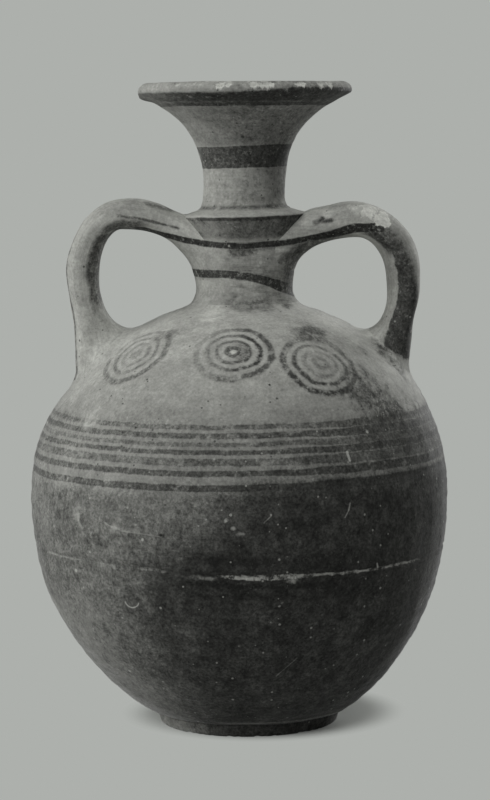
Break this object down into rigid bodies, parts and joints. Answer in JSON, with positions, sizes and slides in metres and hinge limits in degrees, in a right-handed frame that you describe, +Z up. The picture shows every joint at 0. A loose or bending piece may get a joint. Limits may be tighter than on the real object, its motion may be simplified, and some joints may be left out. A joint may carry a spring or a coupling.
{
  "type": "two-handled jug",
  "caption": "Round-bellied ceramic jug that holds and pours liquid: low foot, ridged narrow neck, flared funnel mouth, strap handles from neck to shoulder, plain painted bands and circles.",
  "frame": {"origin": "on the jug's axis, in the plane that its foot stands on", "axes": "+Z up along the jug's axis to its mouth; the two handles lie in the XZ plane, at -X and +X; -Y is the side seen in the picture"},
  "size_m": [0.17, 0.17, 0.26],
  "materials": {
    "foot_clay": "matt fired clay, dark slip",
    "bowl_clay": "matt fired clay, mottled dark slip",
    "shoulder_clay": "matt pale clay with painted rings and circles",
    "neck_clay": "matt pale clay with painted lines",
    "ridge_clay": "matt clay, painted dark",
    "mouth_clay": "matt clay with painted bands",
    "handle_clay": "matt clay with painted lines"
  },
  "bodies": {
    "root": {"foot_ring": "foot_clay", "body_lower": "bowl_clay", "body_upper": "shoulder_clay", "neck_stem": "neck_clay", "neck_ridge": "ridge_clay", "mouth_funnel": "mouth_clay", "handle_left": "handle_clay", "handle_right": "handle_clay"}
  },
  "joints": []
}
